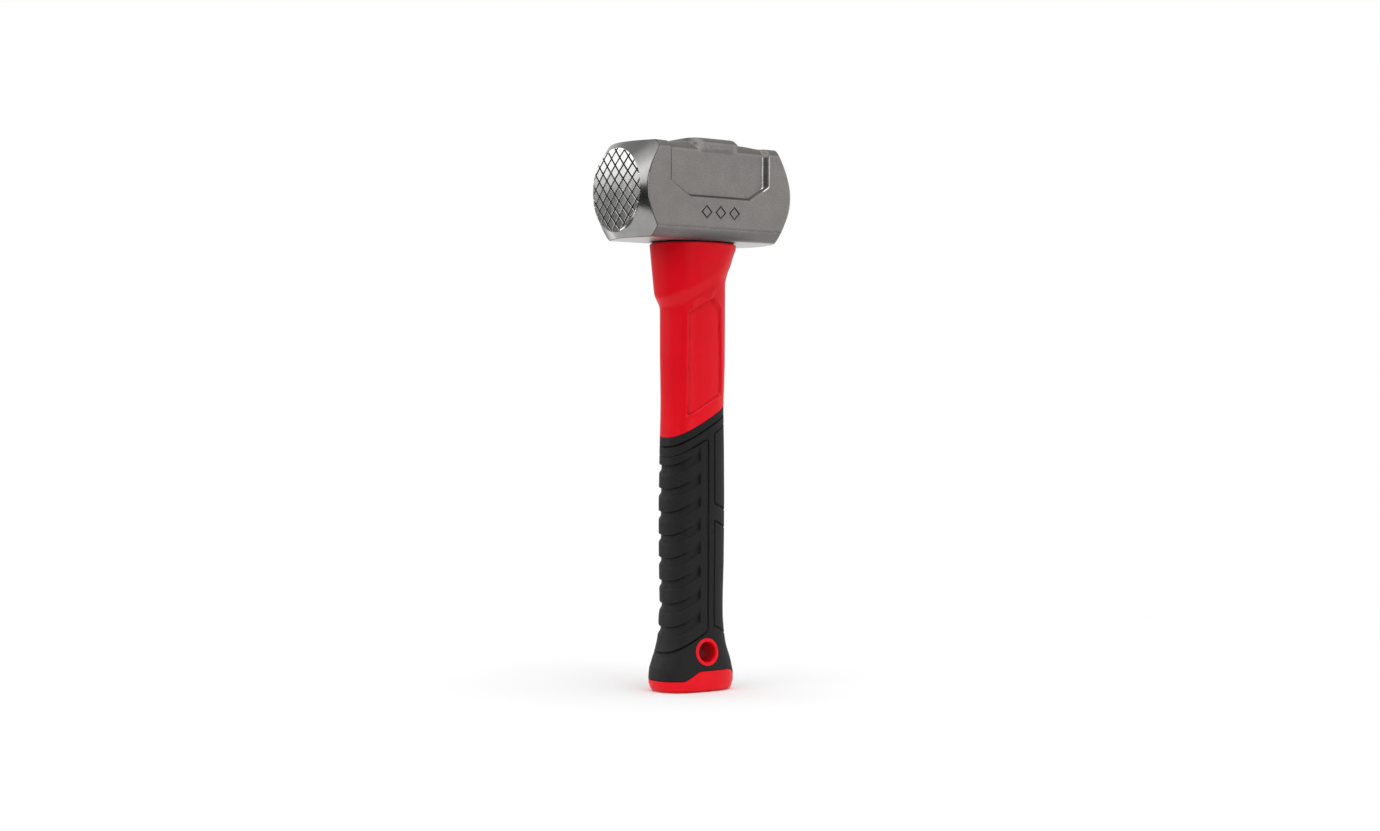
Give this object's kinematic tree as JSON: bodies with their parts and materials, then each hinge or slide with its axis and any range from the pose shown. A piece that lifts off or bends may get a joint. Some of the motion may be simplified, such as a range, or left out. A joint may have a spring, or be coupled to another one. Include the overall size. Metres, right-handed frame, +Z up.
{
  "type": "short-handled sledgehammer",
  "caption": "Short sledgehammer: forged double-faced steel head, one face milled, on a fibreglass-cored handle with a ribbed rubber grip and hanging hole.",
  "frame": {"origin": "centre of the underside of the butt", "axes": "+Z up the handle to the head, X along the head from the milled face (-X) to the plain face (+X), Y from cheek to cheek"},
  "size_m": [0.096, 0.048, 0.2785],
  "materials": {
    "forged_steel": "satin forged steel, ground at the bevels",
    "epoxy_resin": "cast amber resin",
    "fibreglass": "sawn pultruded rod",
    "seal_rubber": "matt",
    "red_plastic": "satin moulded plastic",
    "grip_rubber": "fine matt grain"
  },
  "bodies": {
    "root": {"head": "forged_steel", "eye_epoxy": "epoxy_resin", "fibreglass_core": "fibreglass", "neck_gasket": "seal_rubber", "handle_jacket": "red_plastic", "grip_sleeve": "grip_rubber", "lanyard_bushing": "red_plastic", "butt_cap": "red_plastic"}
  },
  "joints": []
}
